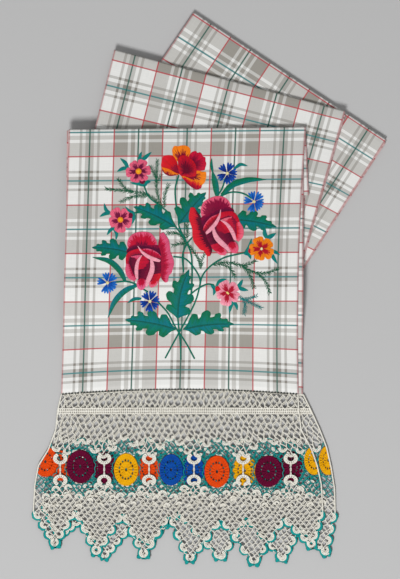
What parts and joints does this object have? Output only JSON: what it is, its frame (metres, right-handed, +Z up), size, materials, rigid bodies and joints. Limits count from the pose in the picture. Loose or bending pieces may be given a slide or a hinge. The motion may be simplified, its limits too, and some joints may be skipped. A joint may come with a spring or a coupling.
{
  "type": "folded ritual towel",
  "caption": "Long checked linen towel with an embroidered bouquet and crocheted lace ends, doubled and folded back and forth into a fan of three sections.",
  "frame": {"origin": "under the middle of the laid-out towel, on the surface it lies on", "axes": "+Z up from the surface, +Y from the lace towards the fanned folds, +X to the right as seen from above"},
  "size_m": [0.5597, 0.8776, 0.0233],
  "materials": {
    "linen": "matte plain weave with a grey, white, red and green check",
    "white_yarn": "matte crocheted cotton",
    "teal_yarn": "soft crocheted cotton",
    "maroon_yarn": "soft crocheted cotton",
    "yellow_yarn": "soft crocheted cotton",
    "blue_yarn": "soft crocheted cotton",
    "orange_yarn": "soft crocheted cotton",
    "silk_thread": "lustrous embroidery thread in reds, pinks, blues, oranges and greens"
  },
  "bodies": {
    "root": {"cloth": "linen", "front_heading": "white_yarn", "front_ground": "teal_yarn", "front_wheel_1": "orange_yarn", "front_wheel_2": "maroon_yarn", "front_wheel_3": "yellow_yarn", "front_wheel_4": "blue_yarn", "front_wheel_5": "orange_yarn", "front_wheel_6": "maroon_yarn", "front_wheel_7": "yellow_yarn", "front_link_1": "white_yarn", "front_link_2": "white_yarn", "front_link_3": "white_yarn", "front_link_4": "white_yarn", "front_link_5": "white_yarn", "front_link_6": "white_yarn", "front_points": "white_yarn", "back_heading": "white_yarn", "back_ground": "teal_yarn", "back_wheel_1": "orange_yarn", "back_wheel_2": "maroon_yarn", "back_wheel_3": "orange_yarn", "back_wheel_4": "blue_yarn", "back_wheel_5": "yellow_yarn", "back_wheel_6": "maroon_yarn", "back_wheel_7": "yellow_yarn", "back_points": "white_yarn"}
  },
  "joints": []
}
